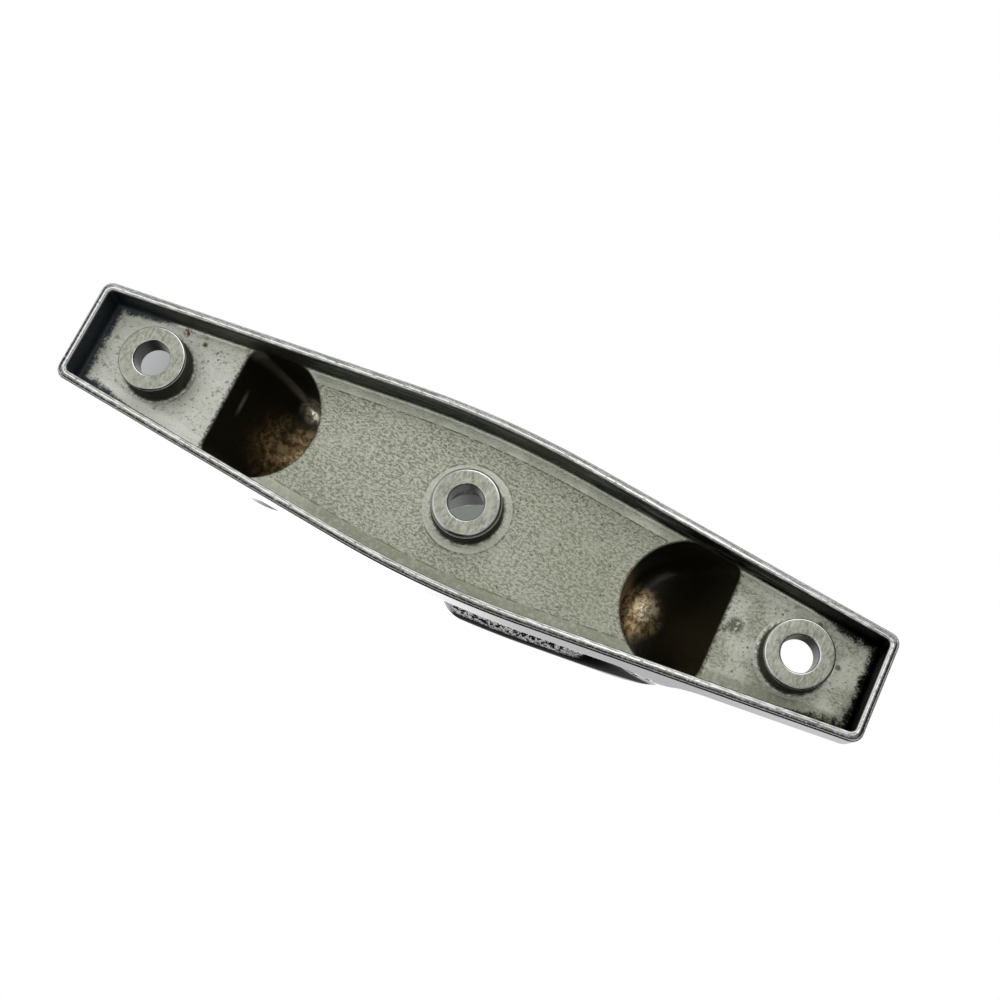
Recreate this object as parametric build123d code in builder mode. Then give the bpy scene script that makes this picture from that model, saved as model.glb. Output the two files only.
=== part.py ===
"""Straight bow chock with two curled horns: a hollow, chrome-plated zinc casting, in millimetres.

Frame: the rim that sits on the deck is the plane z = 0, and the horns point up (+Z).
X runs along the base and Y across it. The origin is the centre of the rim plane.
The casting is the same after half a turn about Z, so each horn is made once and turned.
"""

from build123d import *
import math
import os

os.makedirs("parts", exist_ok=True)

# Plan of the base
length = 152.4
mid_width = 32.4
flank_angle = 5.5
bow_radius = 187.0
corner_radius = 2.0
rim_width = 1.65
inner_corner_radius = 0.9

# Heights
floor_depth = 5.5
crown_height = 11.0
crown_radius = 125.0
sheer_radius = 1600.0
edge_round = 1.5
rim_round = 0.5
outer_draft = 1.0
inner_draft = 2.0

# Horns: a hollow leg with a round front, and an arm along one side that ends in a round nose
horn_height = 29.8
horn_underside = 20.0
leg_front_radius = 14.8
leg_centre_x = 42.6
shoulder_x = 43.6
shoulder_radius = 13.0
heel_x = 50.2
nose_radius = 7.0
nose_x = 6.0
nose_y = 9.0
arm_root_y = -5.5
crook_radius = 7.0
horn_edge_round = 1.0
throat_radius = 4.0
plan_reach = 20.0

# The horn's foot is let into the top of the base, flush with it
foot_front_x = 24.0
foot_back_x = 54.0
foot_level = 8.0

# Pocket inside each leg, open to the hollow of the base
pocket_radius = 12.5
pocket_depth = 17.7
pocket_flat_x = 48.0
pocket_ceiling = 24.5
pocket_shoulder_x = 40.4
pocket_shoulder_radius = 9.0

# Screw bosses and countersunk holes
hole_spacing = 123.2
hole_diameter = 6.3
countersink_diameter = 13.0
countersink_angle = 82.0
countersink_start = 4.7
end_boss_diameter = 12.0
middle_boss_diameter = 12.4
middle_boss_recess = 0.6
middle_boss_round = 0.8
end_boss_round = 0.25

flank = math.radians(flank_angle)


def base_plan(inset, corner):
    """The boat-shaped plan of the base, moved inwards by inset, with rounded corners."""
    radius = bow_radius - inset
    tangent_x = radius * math.sin(flank)
    middle_y = mid_width / 2 - inset
    tangent_y = middle_y - radius * (1 - math.cos(flank))
    end_x = length / 2 - inset
    end_y = tangent_y - (end_x - tangent_x) * math.tan(flank)
    with BuildSketch() as plan:
        with BuildLine():
            ThreePointArc((-tangent_x, tangent_y), (0, middle_y), (tangent_x, tangent_y))
            Polyline((tangent_x, tangent_y), (end_x, end_y), (end_x, -end_y), (tangent_x, -tangent_y))
            ThreePointArc((tangent_x, -tangent_y), (0, -middle_y), (-tangent_x, -tangent_y))
            Polyline((-tangent_x, -tangent_y), (-end_x, -end_y), (-end_x, end_y), (-tangent_x, tangent_y))
        make_face()
        corners = plan.vertices().group_by(Axis.X)[0] + plan.vertices().group_by(Axis.X)[-1]
        fillet(corners, corner)
    return plan.sketch


def drafted_solid(inset, corner, height, draft):
    """A solid on the plan of the base whose sides lean inwards by the draft angle."""
    lean = height * math.tan(math.radians(draft))
    with BuildPart() as solid:
        with BuildSketch():
            add(base_plan(inset, corner))
        with BuildSketch(Plane.XY.offset(height)):
            add(base_plan(inset + lean, corner))
        loft(ruled=True)
    return solid.part


envelope_height = 32.0

# Everything outside keeps to this envelope, so the base and horn flanks are one surface
envelope = drafted_solid(0, corner_radius, envelope_height, outer_draft)

# The hollow of the base and the legs keeps to this core
core = drafted_solid(rim_width, inner_corner_radius, horn_height, inner_draft)

# A barrel-shaped solid whose top is the crowned upper surface of the base
sheer_half_angle = 3.2
barrel_depth = 30.0
sheer = math.radians(sheer_half_angle)
barrel_start = Plane(
    origin=(-sheer_radius * math.sin(sheer), 0, crown_height - sheer_radius * (1 - math.cos(sheer))),
    x_dir=(0, 1, 0),
    z_dir=(math.cos(sheer), 0, math.sin(sheer)),
)
crown_drop = crown_radius - math.sqrt(crown_radius**2 - plan_reach**2)
with BuildPart() as barrel:
    with BuildSketch(barrel_start):
        with BuildLine():
            ThreePointArc((-plan_reach, -crown_drop), (0, 0), (plan_reach, -crown_drop))
            Polyline(
                (plan_reach, -crown_drop),
                (plan_reach, -barrel_depth),
                (-plan_reach, -barrel_depth),
                (-plan_reach, -crown_drop),
            )
        make_face()
    barrel_axis = Axis((0, 0, crown_height - sheer_radius), (0, 1, 0))
    revolve(axis=barrel_axis, revolution_arc=2 * sheer_half_angle)

# Solid base without its hollow
with BuildPart() as base_block:
    add(envelope)
    add(barrel.part, mode=Mode.INTERSECT)
    fillet(base_block.faces().sort_by(Axis.Z)[-1].edges(), edge_round)
    fillet(base_block.faces().sort_by(Axis.Z)[0].edges(), rim_round)

# Side view of the horn: a steep heel, a round shoulder and a level top
with BuildPart() as horn_side:
    with BuildSketch(Plane.XZ):
        with BuildLine():
            FilletPolyline(
                (heel_x, 0),
                (shoulder_x, horn_height),
                (-plan_reach, horn_height),
                radius=shoulder_radius,
            )
            Polyline((-plan_reach, horn_height), (-plan_reach, 0), (heel_x, 0))
        make_face()
    extrude(amount=plan_reach, both=True)

# Plan of the horn: the leg's round front, blended into the arm, which ends in a round nose
with BuildPart() as horn_plan:
    with BuildSketch() as horn_outline:
        with Locations((leg_centre_x, 0)):
            Circle(leg_front_radius)
        with BuildLine():
            Polyline(
                (nose_x, nose_y - nose_radius),
                (leg_centre_x, arm_root_y),
                (leg_centre_x, -plan_reach),
                (length / 2, -plan_reach),
                (length / 2, plan_reach),
                (nose_x, plan_reach),
                close=True,
            )
        make_face()
        in_crook = horn_outline.vertices().filter_by_position(Axis.X, nose_x + 1, leg_centre_x - 1)
        fillet(in_crook, crook_radius)
        with Locations((nose_x, nose_y)):
            Circle(nose_radius)
    extrude(amount=horn_height)

# The throat is the open space under the arm, in front of the leg
with BuildPart() as throat:
    with BuildSketch():
        with Locations((leg_centre_x, 0)):
            Rectangle(length / 2, 2 * plan_reach, align=(Align.MAX, Align.CENTER))
            Circle(leg_front_radius, mode=Mode.SUBTRACT)
    extrude(amount=horn_underside)
    throat_rim = throat.faces().sort_by(Axis.Z)[-1].edges().filter_by(GeomType.CIRCLE)
    fillet(throat_rim, throat_radius)

# Side view of the cavity in a leg: it slopes up from the flat edge and levels out
with BuildPart() as pocket_side:
    with BuildSketch(Plane.XZ):
        with BuildLine():
            FilletPolyline(
                (pocket_flat_x, floor_depth),
                (pocket_shoulder_x, pocket_ceiling),
                (0, pocket_ceiling),
                radius=pocket_shoulder_radius,
            )
            Polyline((0, pocket_ceiling), (0, 0), (pocket_flat_x, 0), (pocket_flat_x, floor_depth))
        make_face()
    extrude(amount=plan_reach, both=True)

# Cavity in a leg: D-shaped in plan, with its round side towards the middle of the base
with BuildPart() as pocket:
    with BuildSketch():
        with Locations((pocket_flat_x, 0)):
            Rectangle(pocket_depth, 2 * plan_reach, align=(Align.MAX, Align.CENTER))
        with Locations((pocket_flat_x - pocket_depth + pocket_radius, 0)):
            Circle(pocket_radius, mode=Mode.INTERSECT)
    extrude(amount=horn_height, taper=inner_draft)
    add(core, mode=Mode.INTERSECT)
    add(pocket_side.part, mode=Mode.INTERSECT)

# Room that the horn's foot takes up in the top of the base
with BuildPart() as foot_room:
    with Locations((foot_front_x, 0, foot_level)):
        Box(
            foot_back_x - foot_front_x,
            2 * plan_reach,
            horn_height,
            align=(Align.MIN, Align.CENTER, Align.MIN),
        )

# The whole horn's room: its foot, and the arm standing clear of the base in front of it
arm_clearance_level = (crown_height + horn_underside) / 2
with BuildPart() as horn_room:
    add(foot_room.part)
    with Locations((foot_front_x, 0, arm_clearance_level)):
        Box(
            foot_front_x + plan_reach,
            2 * plan_reach,
            horn_height,
            align=(Align.MAX, Align.CENTER, Align.MIN),
        )

# One horn with its foot, whose top is flush with the base
with BuildPart() as horn_forward:
    add(envelope)
    add(horn_side.part, mode=Mode.INTERSECT)
    add(horn_plan.part, mode=Mode.INTERSECT)
    add(throat.part, mode=Mode.SUBTRACT)
    top_outline = horn_forward.faces().sort_by(Axis.Z)[-1].edges()
    fillet(top_outline, horn_edge_round)
    add(base_block.part)
    add(horn_room.part, mode=Mode.INTERSECT)
    add(pocket.part, mode=Mode.SUBTRACT)
horn_forward.part.label = "horn_forward"

with BuildPart() as horn_aft:
    add(horn_forward.part.rotate(Axis.Z, 180))
horn_aft.part.label = "horn_aft"

# Hollow of the base below its top plate
with BuildPart() as hollow:
    add(core)
    with Locations((0, 0, floor_depth)):
        Box(
            length,
            2 * plan_reach,
            horn_height,
            align=(Align.CENTER, Align.CENTER, Align.MIN),
            mode=Mode.SUBTRACT,
        )

# Straight hole and countersink, on the Z axis
countersink_rise = (countersink_diameter - hole_diameter) / 2 / math.tan(math.radians(countersink_angle / 2))
with BuildPart() as screw_hole:
    Cylinder(hole_diameter / 2, 2 * crown_height)
    with Locations((0, 0, countersink_start)):
        Cone(
            hole_diameter / 2,
            countersink_diameter / 2,
            countersink_rise,
            align=(Align.CENTER, Align.CENTER, Align.MIN),
        )
    with Locations((0, 0, countersink_start + countersink_rise)):
        Cylinder(countersink_diameter / 2, crown_height, align=(Align.CENTER, Align.CENTER, Align.MIN))

hole_places = [(-hole_spacing / 2, 0, 0), (0, 0, 0), (hole_spacing / 2, 0, 0)]

# Base shell: rim, side walls and top plate in one piece, open underneath
with BuildPart() as base_shell:
    add(base_block.part)
    add(hollow.part, mode=Mode.SUBTRACT)
    add(foot_room.part, mode=Mode.SUBTRACT)
    add(foot_room.part.rotate(Axis.Z, 180), mode=Mode.SUBTRACT)
    add(pocket.part, mode=Mode.SUBTRACT)
    add(pocket.part.rotate(Axis.Z, 180), mode=Mode.SUBTRACT)
    with Locations(*hole_places):
        add(screw_hole.part, mode=Mode.SUBTRACT)
base_shell.part.label = "base_shell"


def boss(diameter, recess, edge_round):
    """A screw boss under the top plate: recess is how far its face is above the rim plane."""
    with BuildPart() as solid:
        with Locations((0, 0, recess)):
            Cylinder(diameter / 2, floor_depth - recess, align=(Align.CENTER, Align.CENTER, Align.MIN))
        fillet(solid.edges().group_by(Axis.Z)[0], edge_round)
        add(screw_hole.part, mode=Mode.SUBTRACT)
    return solid.part


with BuildPart() as boss_forward:
    add(boss(end_boss_diameter, 0, end_boss_round).moved(Location(hole_places[2])))
boss_forward.part.label = "boss_forward"

with BuildPart() as boss_middle:
    add(boss(middle_boss_diameter, middle_boss_recess, middle_boss_round))
boss_middle.part.label = "boss_middle"

with BuildPart() as boss_aft:
    add(boss(end_boss_diameter, 0, end_boss_round).moved(Location(hole_places[0])))
boss_aft.part.label = "boss_aft"

export_step(base_shell.part, "parts/base_shell.step")
export_step(horn_forward.part, "parts/horn_forward.step")
export_step(horn_aft.part, "parts/horn_aft.step")
export_step(boss_forward.part, "parts/boss_forward.step")
export_step(boss_middle.part, "parts/boss_middle.step")
export_step(boss_aft.part, "parts/boss_aft.step")
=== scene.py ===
"""Looks of the straight bow chock: one chrome-plated casting, hollow underneath, with two curled horns.

The solids are built here from the same dimensions as the CAD nodes, as smooth fields that say how far a
point is from the surface (negative inside), so that every edge and inner corner is rounded as cast.
Fields work in millimetres, in the row frame; meshes are written in metres.
"""

import math

import bmesh
import bpy
import numpy as np
from mathutils import Matrix, Vector


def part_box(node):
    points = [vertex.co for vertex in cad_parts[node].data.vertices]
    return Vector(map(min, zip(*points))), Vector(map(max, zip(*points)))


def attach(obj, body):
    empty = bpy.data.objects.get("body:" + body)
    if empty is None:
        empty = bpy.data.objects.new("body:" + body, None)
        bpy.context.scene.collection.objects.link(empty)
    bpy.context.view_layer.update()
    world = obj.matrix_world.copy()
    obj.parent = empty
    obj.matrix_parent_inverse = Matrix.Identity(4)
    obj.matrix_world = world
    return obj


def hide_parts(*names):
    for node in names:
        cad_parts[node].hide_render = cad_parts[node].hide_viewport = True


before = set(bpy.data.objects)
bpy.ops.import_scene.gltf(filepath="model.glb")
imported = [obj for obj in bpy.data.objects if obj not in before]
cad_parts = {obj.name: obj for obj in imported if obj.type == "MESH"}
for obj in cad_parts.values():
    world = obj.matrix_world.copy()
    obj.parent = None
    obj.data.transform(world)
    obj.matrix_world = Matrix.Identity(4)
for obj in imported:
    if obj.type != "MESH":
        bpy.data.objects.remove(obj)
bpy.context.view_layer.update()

MM = 0.001

# ---------------------------------------------------------------- sizes, in millimetres
shell_low, shell_high = [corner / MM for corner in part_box("base_shell")]
horn_low, horn_high = [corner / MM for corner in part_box("horn_forward")]
boss_low, boss_high = [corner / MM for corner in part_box("boss_forward")]
middle_low, middle_high = [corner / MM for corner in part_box("boss_middle")]

HALF_LENGTH = shell_high.x
HALF_WIDTH = shell_high.y
FLANK_ANGLE = math.radians(5.5)
BOW_RADIUS = 187.0
CORNER_RADIUS = 2.0
OUTER_DRAFT = math.radians(1.0)
INNER_DRAFT = math.radians(2.0)

RIM_WIDTH = 1.65
RIM_ROUND = 0.8
RIM_INNER_ROUND = 0.42
INNER_CORNER_RADIUS = 0.9
FLOOR_DEPTH = boss_high.z
FLOOR_FILLET = 0.7

CROWN_HEIGHT = shell_high.z
CROWN_RADIUS = 125.0
SHEER_RADIUS = 1600.0
CROWN_EDGE_ROUND = 1.6

HORN_HEIGHT = horn_high.z
HORN_UNDERSIDE = 20.0
FOOT_LEVEL = horn_low.z
FOOT_FRONT_X = 24.0
FOOT_BACK_X = horn_high.x
FOOT_FILLET = 2.2
ARM_LEVEL = 15.5
LEG_CENTRE_X = 42.6
LEG_RADIUS = 14.8
HEEL_X = 50.2
SHOULDER_X = 43.6
SHOULDER_RADIUS = 13.0
ARM_ROOT_Y = -5.5
NOSE_X = 6.0
NOSE_Y = 9.0
NOSE_RADIUS = 7.0
CROOK_RADIUS = 5.0
UNDERSIDE_ROUND = 4.0
FLANK_ROUND = 5.0
TOP_ROUND = 4.4

POCKET_RADIUS = 12.5
POCKET_CENTRE_X = 42.8
POCKET_FLAT_X = 48.0
POCKET_CEILING = 24.5
POCKET_SHOULDER_X = 40.4
POCKET_SLOPE = math.atan2(POCKET_FLAT_X - POCKET_SHOULDER_X, POCKET_CEILING - FLOOR_DEPTH)
POCKET_SHOULDER_RADIUS = 9.0
POCKET_ROUND = 2.5
POCKET_LIP_ROUND = 0.4

END_BOSS_X = (boss_low.x + boss_high.x) / 2
END_BOSS_RADIUS = (boss_high.x - boss_low.x) / 2
MIDDLE_BOSS_RADIUS = (middle_high.x - middle_low.x) / 2
MIDDLE_BOSS_RECESS = middle_low.z
BOSS_FILLET = 0.6
BOSS_COLLAR = 1.0
BOSS_ROOT = 0.75
HOLE_RADIUS = 3.22
HOLE_TAPER = 0.045
HOLE_EDGE_ROUND = 0.32
SINK_START = 4.7
SINK_RADIUS = 6.5
SINK_HALF_ANGLE = math.radians(41.0)

SHELL_STEP = (0.52, 0.31, 0.31)
HORN_STEP = (0.36, 0.36, 0.36)
BOSS_STEP = (0.22, 0.22, 0.22)
SETTLE_ROUNDS = 5


# ---------------------------------------------------------------- fields
def both(a, b, radius, lean=0.0):
    """Where a and b are both inside, with the edge rounded. lean is the cosine between their normals."""
    spread = 1 - lean * lean
    u = (a + radius - lean * (b + radius)) / spread
    v = (b + radius - lean * (a + radius)) / spread
    edge = np.sqrt(np.maximum(u * u + v * v + 2 * lean * u * v, 0)) - radius
    return np.where((u > 0) & (v > 0), edge, np.maximum(a, b))


def either(a, b, radius, lean=0.0):
    """Where a or b is inside, with the inner corner filleted."""
    return -both(-a, -b, radius, lean)


def ramp(value, start, end):
    """Goes smoothly from 0 at start to 1 at end."""
    t = np.clip((value - start) / (end - start), 0, 1)
    return t * t * (3 - 2 * t)


def boat(x, y):
    """Distances to the sides and to the ends of the base, in plan."""
    across, along = np.abs(y), np.abs(x)
    arc_centre = HALF_WIDTH - BOW_RADIUS
    tangent_x = BOW_RADIUS * math.sin(FLANK_ANGLE)
    tangent_y = arc_centre + BOW_RADIUS * math.cos(FLANK_ANGLE)
    arc = np.hypot(along, across - arc_centre) - BOW_RADIUS
    flank = (along - tangent_x) * math.sin(FLANK_ANGLE) + (across - tangent_y) * math.cos(FLANK_ANGLE)
    sides = np.where(along < np.tan(FLANK_ANGLE) * (across - arc_centre), arc, flank)
    return sides, along - HALF_LENGTH


def outer_wall(x, y, z):
    """The drafted outside of the base, which the horns' flanks keep to as well."""
    sides, ends = boat(x, y)
    lean_in = z * math.tan(OUTER_DRAFT)
    return both(sides + lean_in, ends + lean_in, CORNER_RADIUS, math.sin(FLANK_ANGLE))


def inner_wall(x, y, z):
    """The drafted walls of the hollow."""
    sides, ends = boat(x, y)
    lean_in = RIM_WIDTH + z * math.tan(INNER_DRAFT)
    return both(sides + lean_in, ends + lean_in, INNER_CORNER_RADIUS, math.sin(FLANK_ANGLE))


def crown(x, y, z):
    """Below the barrel-shaped top of the base."""
    along = np.hypot(x, z - (CROWN_HEIGHT - SHEER_RADIUS))
    return np.hypot(along - (SHEER_RADIUS - CROWN_RADIUS), y) - CROWN_RADIUS


def horn(x, y, z):
    """The forward horn: a leg with a round front and a steep heel, and an arm with a round nose."""
    leg = np.hypot(np.minimum(x - LEG_CENTRE_X, 0), y) - LEG_RADIUS

    reach = math.hypot(NOSE_X - LEG_CENTRE_X, NOSE_Y - ARM_ROOT_Y)
    heading = math.atan2(NOSE_Y - ARM_ROOT_Y, NOSE_X - LEG_CENTRE_X) + math.asin(NOSE_RADIUS / reach)
    past_nose = (x - NOSE_X) * math.cos(heading) + (y - NOSE_Y) * math.sin(heading)
    towards_slot = (x - NOSE_X) * -math.sin(heading) + (y - NOSE_Y) * math.cos(heading)
    arm_plan = both(towards_slot - NOSE_RADIUS, past_nose - NOSE_RADIUS, NOSE_RADIUS)
    arm = both(arm_plan, HORN_UNDERSIDE - z, UNDERSIDE_ROUND)
    plan = either(leg, arm, CROOK_RADIUS)

    heel_angle = math.atan2(HEEL_X - SHOULDER_X, HORN_HEIGHT)
    heel = (x - HEEL_X) * math.cos(heel_angle) + z * math.sin(heel_angle)
    back_and_top = both(heel, z - HORN_HEIGHT, SHOULDER_RADIUS, math.sin(heel_angle))
    return both(plan, back_and_top, TOP_ROUND)


def outside(x, y, z, horns):
    """The casting without its hollow. Each horn is the forward one, turned by 1 or -1."""
    top = crown(x, y, z)
    for turn in horns:
        top = either(top, horn(turn * x, turn * y, z), FOOT_FILLET)
    edge_round = CROWN_EDGE_ROUND + (FLANK_ROUND - CROWN_EDGE_ROUND) * ramp(z, CROWN_HEIGHT, HORN_UNDERSIDE)
    edge_round = edge_round + (TOP_ROUND - FLANK_ROUND) * ramp(z, HORN_UNDERSIDE, HORN_HEIGHT)
    return both(both(top, outer_wall(x, y, z), edge_round), -z, RIM_ROUND)


def pocket_sides(x, y, z):
    """The round wall of the cavity in each leg, and its ceiling, which slopes up from the flat edge."""
    along = np.abs(x)
    wall = np.hypot(along - POCKET_CENTRE_X, y) - POCKET_RADIUS + z * math.tan(INNER_DRAFT)
    ceiling = (along - POCKET_FLAT_X) * math.cos(POCKET_SLOPE) + (z - FLOOR_DEPTH) * math.sin(POCKET_SLOPE)
    return wall, ceiling


def pocket(x, y, z):
    """The cavity in each leg, D-shaped in plan."""
    wall, ceiling = pocket_sides(x, y, z)
    ceiling = both(ceiling, z - POCKET_CEILING, POCKET_SHOULDER_RADIUS, math.sin(POCKET_SLOPE))
    return both(wall, ceiling, POCKET_ROUND)


def hollow(x, y, z):
    """The open space inside the base and the legs."""
    fillet = FLOOR_FILLET + (POCKET_ROUND - FLOOR_FILLET) * ramp(z, FLOOR_DEPTH, FLOOR_DEPTH + POCKET_ROUND)
    rooms = either(z - FLOOR_DEPTH, pocket(x, y, z), POCKET_LIP_ROUND)
    return both(inner_wall(x, y, z), rooms, fillet)


def bosses():
    """Place, radius, recess and edge rounding of the three screw bosses."""
    return (
        ("boss_aft", -END_BOSS_X, END_BOSS_RADIUS, 0.0, 0.4),
        ("boss_middle", 0.0, MIDDLE_BOSS_RADIUS, MIDDLE_BOSS_RECESS, 0.8),
        ("boss_forward", END_BOSS_X, END_BOSS_RADIUS, 0.0, 0.4),
    )


def casting(x, y, z, horns=(1, -1)):
    """The whole casting, or as much of it as the horns asked for."""
    solid = both(outside(x, y, z, horns), -hollow(x, y, z), RIM_INNER_ROUND)
    for _, centre, radius, recess, edge in bosses():
        away = np.hypot(x - centre, y)
        post = np.maximum(both(away - radius, recess - z, edge), z - FOOT_LEVEL)
        solid = either(solid, post, BOSS_FILLET)
        bore = away - HOLE_RADIUS + HOLE_TAPER * z
        sink = (away - HOLE_RADIUS) * math.cos(SINK_HALF_ANGLE) - (z - SINK_START) * math.sin(SINK_HALF_ANGLE)
        sink = np.maximum(sink, away - SINK_RADIUS)
        solid = both(solid, -np.minimum(bore, sink), HOLE_EDGE_ROUND)
    return solid


# ---------------------------------------------------------------- rooms that divide the casting
def horn_room(x, y, z):
    """The foot of the forward horn and the arm above it."""
    clear_of_base = np.minimum(FOOT_FRONT_X - x, ARM_LEVEL - z)
    return np.maximum(np.maximum(FOOT_LEVEL - z, clear_of_base), x - FOOT_BACK_X)


def boss_room(x, y, z, centre, radius):
    """A boss with the collar of floor round it."""
    return np.maximum(np.hypot(x - centre, y) - radius - BOSS_COLLAR, z - FLOOR_DEPTH - BOSS_ROOT)


# ---------------------------------------------------------------- meshes from fields
def gradient(field, points, reach=0.01):
    """How a field changes at each point, by central differences."""
    change = np.empty_like(points)
    for axis in range(3):
        shift = np.zeros(3)
        shift[axis] = reach
        ahead, behind = points + shift, points - shift
        change[:, axis] = (field(*ahead.T) - field(*behind.T)) / (2 * reach)
    return change


def settle(points, fields, needed, rounds):
    """Moves each point onto the surfaces that pass through its cell."""
    for _ in range(rounds):
        for index, field in enumerate(fields):
            chosen = needed[:, index]
            if not chosen.any():
                continue
            here = points[chosen]
            slope = gradient(field, here)
            steepness = np.maximum((slope * slope).sum(1), 0.05)
            points[chosen] = here - (field(*here.T) / steepness)[:, None] * slope
    return points


def cells_round(index, others):
    """The four grid cells that share each of the grid's edges, in order round it."""
    for back in ((0, 0), (1, 0), (1, 1), (0, 1)):
        cell = index.copy()
        cell[:, others[0]] -= back[0]
        cell[:, others[1]] -= back[1]
        yield cell


def write_mesh(name, points, quads, normals):
    """A smooth mesh object from points in millimetres, four corners to a face and a normal at each corner."""
    mesh = bpy.data.meshes.new(name)
    mesh.vertices.add(len(points))
    mesh.vertices.foreach_set("co", (points * MM).astype(np.float32).reshape(-1))
    mesh.loops.add(quads.size)
    mesh.loops.foreach_set("vertex_index", quads.reshape(-1).astype(np.int32))
    mesh.polygons.add(len(quads))
    mesh.polygons.foreach_set("loop_start", np.arange(0, quads.size, 4, dtype=np.int32))
    mesh.update(calc_edges=True)
    mesh.validate()
    mesh.polygons.foreach_set("use_smooth", np.ones(len(quads), bool))
    mesh.normals_split_custom_set(normals.reshape(-1, 3).tolist())
    made = bpy.data.objects.new(name, mesh)
    bpy.context.scene.collection.objects.link(made)
    return made


def corner_normals(fields, points, quads, kinds):
    """Each corner's normal is the slope of the field that its face lies on, so cut edges stay sharp."""
    normals = np.zeros((len(quads), 4, 3))
    for index, field in enumerate(fields):
        chosen = kinds == index
        seen, back = np.unique(quads[chosen].reshape(-1), return_inverse=True)
        slope = gradient(field, points[seen])
        slope /= np.maximum(np.linalg.norm(slope, axis=1), 1e-9)[:, None]
        normals[chosen] = slope[back.reshape(-1)].reshape(-1, 4, 3)
    return normals


def solid_mesh(name, fields, low, high, step):
    """A closed mesh round the space where every field is negative.

    The first field is the casting and the others are flat cuts. One vertex sits in each grid cell that the
    surface crosses, and cells that two surfaces cross have theirs on the edge between them.
    """
    step = np.array(step)
    counts = [int(math.ceil((high[a] - low[a]) / step[a])) + 4 for a in range(3)]
    start = np.array([low[a] - 1.37 * step[a] for a in range(3)])
    axes = [start[a] + step[a] * np.arange(counts[a]) for a in range(3)]
    grid = np.meshgrid(*axes, indexing="ij")
    value = np.max([field(*grid) for field in fields], axis=0)
    inside = value < 0

    cells = tuple(c - 1 for c in counts)
    total = np.zeros(cells + (3,))
    hits = np.zeros(cells)
    touched = np.zeros(cells + (len(fields),), bool)
    crossings = []
    for axis in range(3):
        first = [slice(None)] * 3
        second = [slice(None)] * 3
        first[axis], second[axis] = slice(0, -1), slice(1, None)
        first, second = tuple(first), tuple(second)
        crossed = inside[first] != inside[second]
        index = np.argwhere(crossed)
        a, b = value[first][crossed], value[second][crossed]
        point = start + step * index
        point[:, axis] += step[axis] * a / (a - b)
        kind = np.argmax([field(*point.T) for field in fields], axis=0)
        outward = inside[first][crossed]
        others = [other for other in range(3) if other != axis]
        for cell in cells_round(index, others):
            flat = np.ravel_multi_index(cell.T, cells)
            np.add.at(hits.reshape(-1), flat, 1)
            for part in range(3):
                total[..., part].reshape(-1)[:] += np.bincount(flat, point[:, part], total[..., part].size)
            touched.reshape(-1, len(fields))[flat, kind] = True
        crossings.append((axis, others, index, kind, outward))

    used = hits > 0
    number = np.full(cells, -1)
    number[used] = np.arange(used.sum())
    points = settle(total[used] / hits[used][:, None], fields, touched[used], SETTLE_ROUNDS)

    quads, kinds = [], []
    for axis, others, index, kind, outward in crossings:
        quad = np.stack([number[tuple(cell.T)] for cell in cells_round(index, others)], 1)
        turn = outward if axis != 1 else ~outward
        quad[~turn] = quad[~turn][:, ::-1]
        quads.append(quad)
        kinds.append(kind)
    quads, kinds = np.concatenate(quads), np.concatenate(kinds)
    return write_mesh(name, points, quads, corner_normals(fields, points, quads, kinds)), points


def store(made, name, amount):
    """Keeps a number for each vertex, for the materials to read."""
    layer = made.data.attributes.new(name, "FLOAT", "POINT")
    layer.data.foreach_set("value", amount.astype(np.float32))


def surface_kinds(made, points):
    """Marks which vertices are in the hollow and in a pocket, with their distances from what is near.

    wall_gap is the distance in from the hollow's wall. fold is small where a pocket's wall meets its
    ceiling. from_boss is the distance out from the nearest boss, and is negative within one.
    """
    x, y, z = points.T
    in_hollow = 1 - ramp(hollow(x, y, z), 0.05, 0.3)
    in_pocket = in_hollow * ramp(z, FLOOR_DEPTH - 0.1, FLOOR_DEPTH + 0.4)
    store(made, "hollow", in_hollow)
    store(made, "pocket", in_pocket)
    store(made, "wall_gap", -inner_wall(x, y, z))
    wall, ceiling = pocket_sides(x, y, z)
    store(made, "fold", -np.minimum(wall, np.maximum(ceiling, z - POCKET_CEILING)))
    from_boss = np.min([np.hypot(x - centre, y) - radius for _, centre, radius, _, _ in bosses()], axis=0)
    store(made, "from_boss", from_boss)


# ---------------------------------------------------------------- pieces
def turned(field):
    """The same field after half a turn about the Z axis."""
    return lambda x, y, z: field(-x, -y, z)


def outside_of(field):
    """Everything that the field leaves out."""
    return lambda x, y, z: -field(x, y, z)


def step_for(fine):
    return fine


def make_pieces():
    """One closed mesh for each CAD node, cut from the same casting."""
    def forward(x, y, z):
        return casting(x, y, z, (1,))

    boss_rooms = {}
    for name, centre, radius, _, _ in bosses():
        boss_rooms[name] = lambda x, y, z, c=centre, r=radius: boss_room(x, y, z, c, r)

    jobs = [
        ("base_shell", [casting, outside_of(horn_room), outside_of(turned(horn_room))]
         + [outside_of(room) for room in boss_rooms.values()], shell_low, shell_high, SHELL_STEP),
        ("horn_forward", [forward, horn_room], horn_low, horn_high, HORN_STEP),
        ("horn_aft", [turned(forward), turned(horn_room)],
         (-horn_high.x, -horn_high.y, horn_low.z), (-horn_low.x, -horn_low.y, horn_high.z), HORN_STEP),
    ]
    for name, centre, radius, _, _ in bosses():
        reach = radius + BOSS_COLLAR
        jobs.append((name, [casting, boss_rooms[name]], (centre - reach, -reach, 0),
                     (centre + reach, reach, FLOOR_DEPTH + BOSS_ROOT), BOSS_STEP))
    made = {}
    for name, fields, low, high, step in jobs:
        piece, points = solid_mesh(name, fields, low, high, step_for(step))
        surface_kinds(piece, points)
        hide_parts(name)
        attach(piece, "root")
        made[name] = piece
    return made


pieces = make_pieces()


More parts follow.
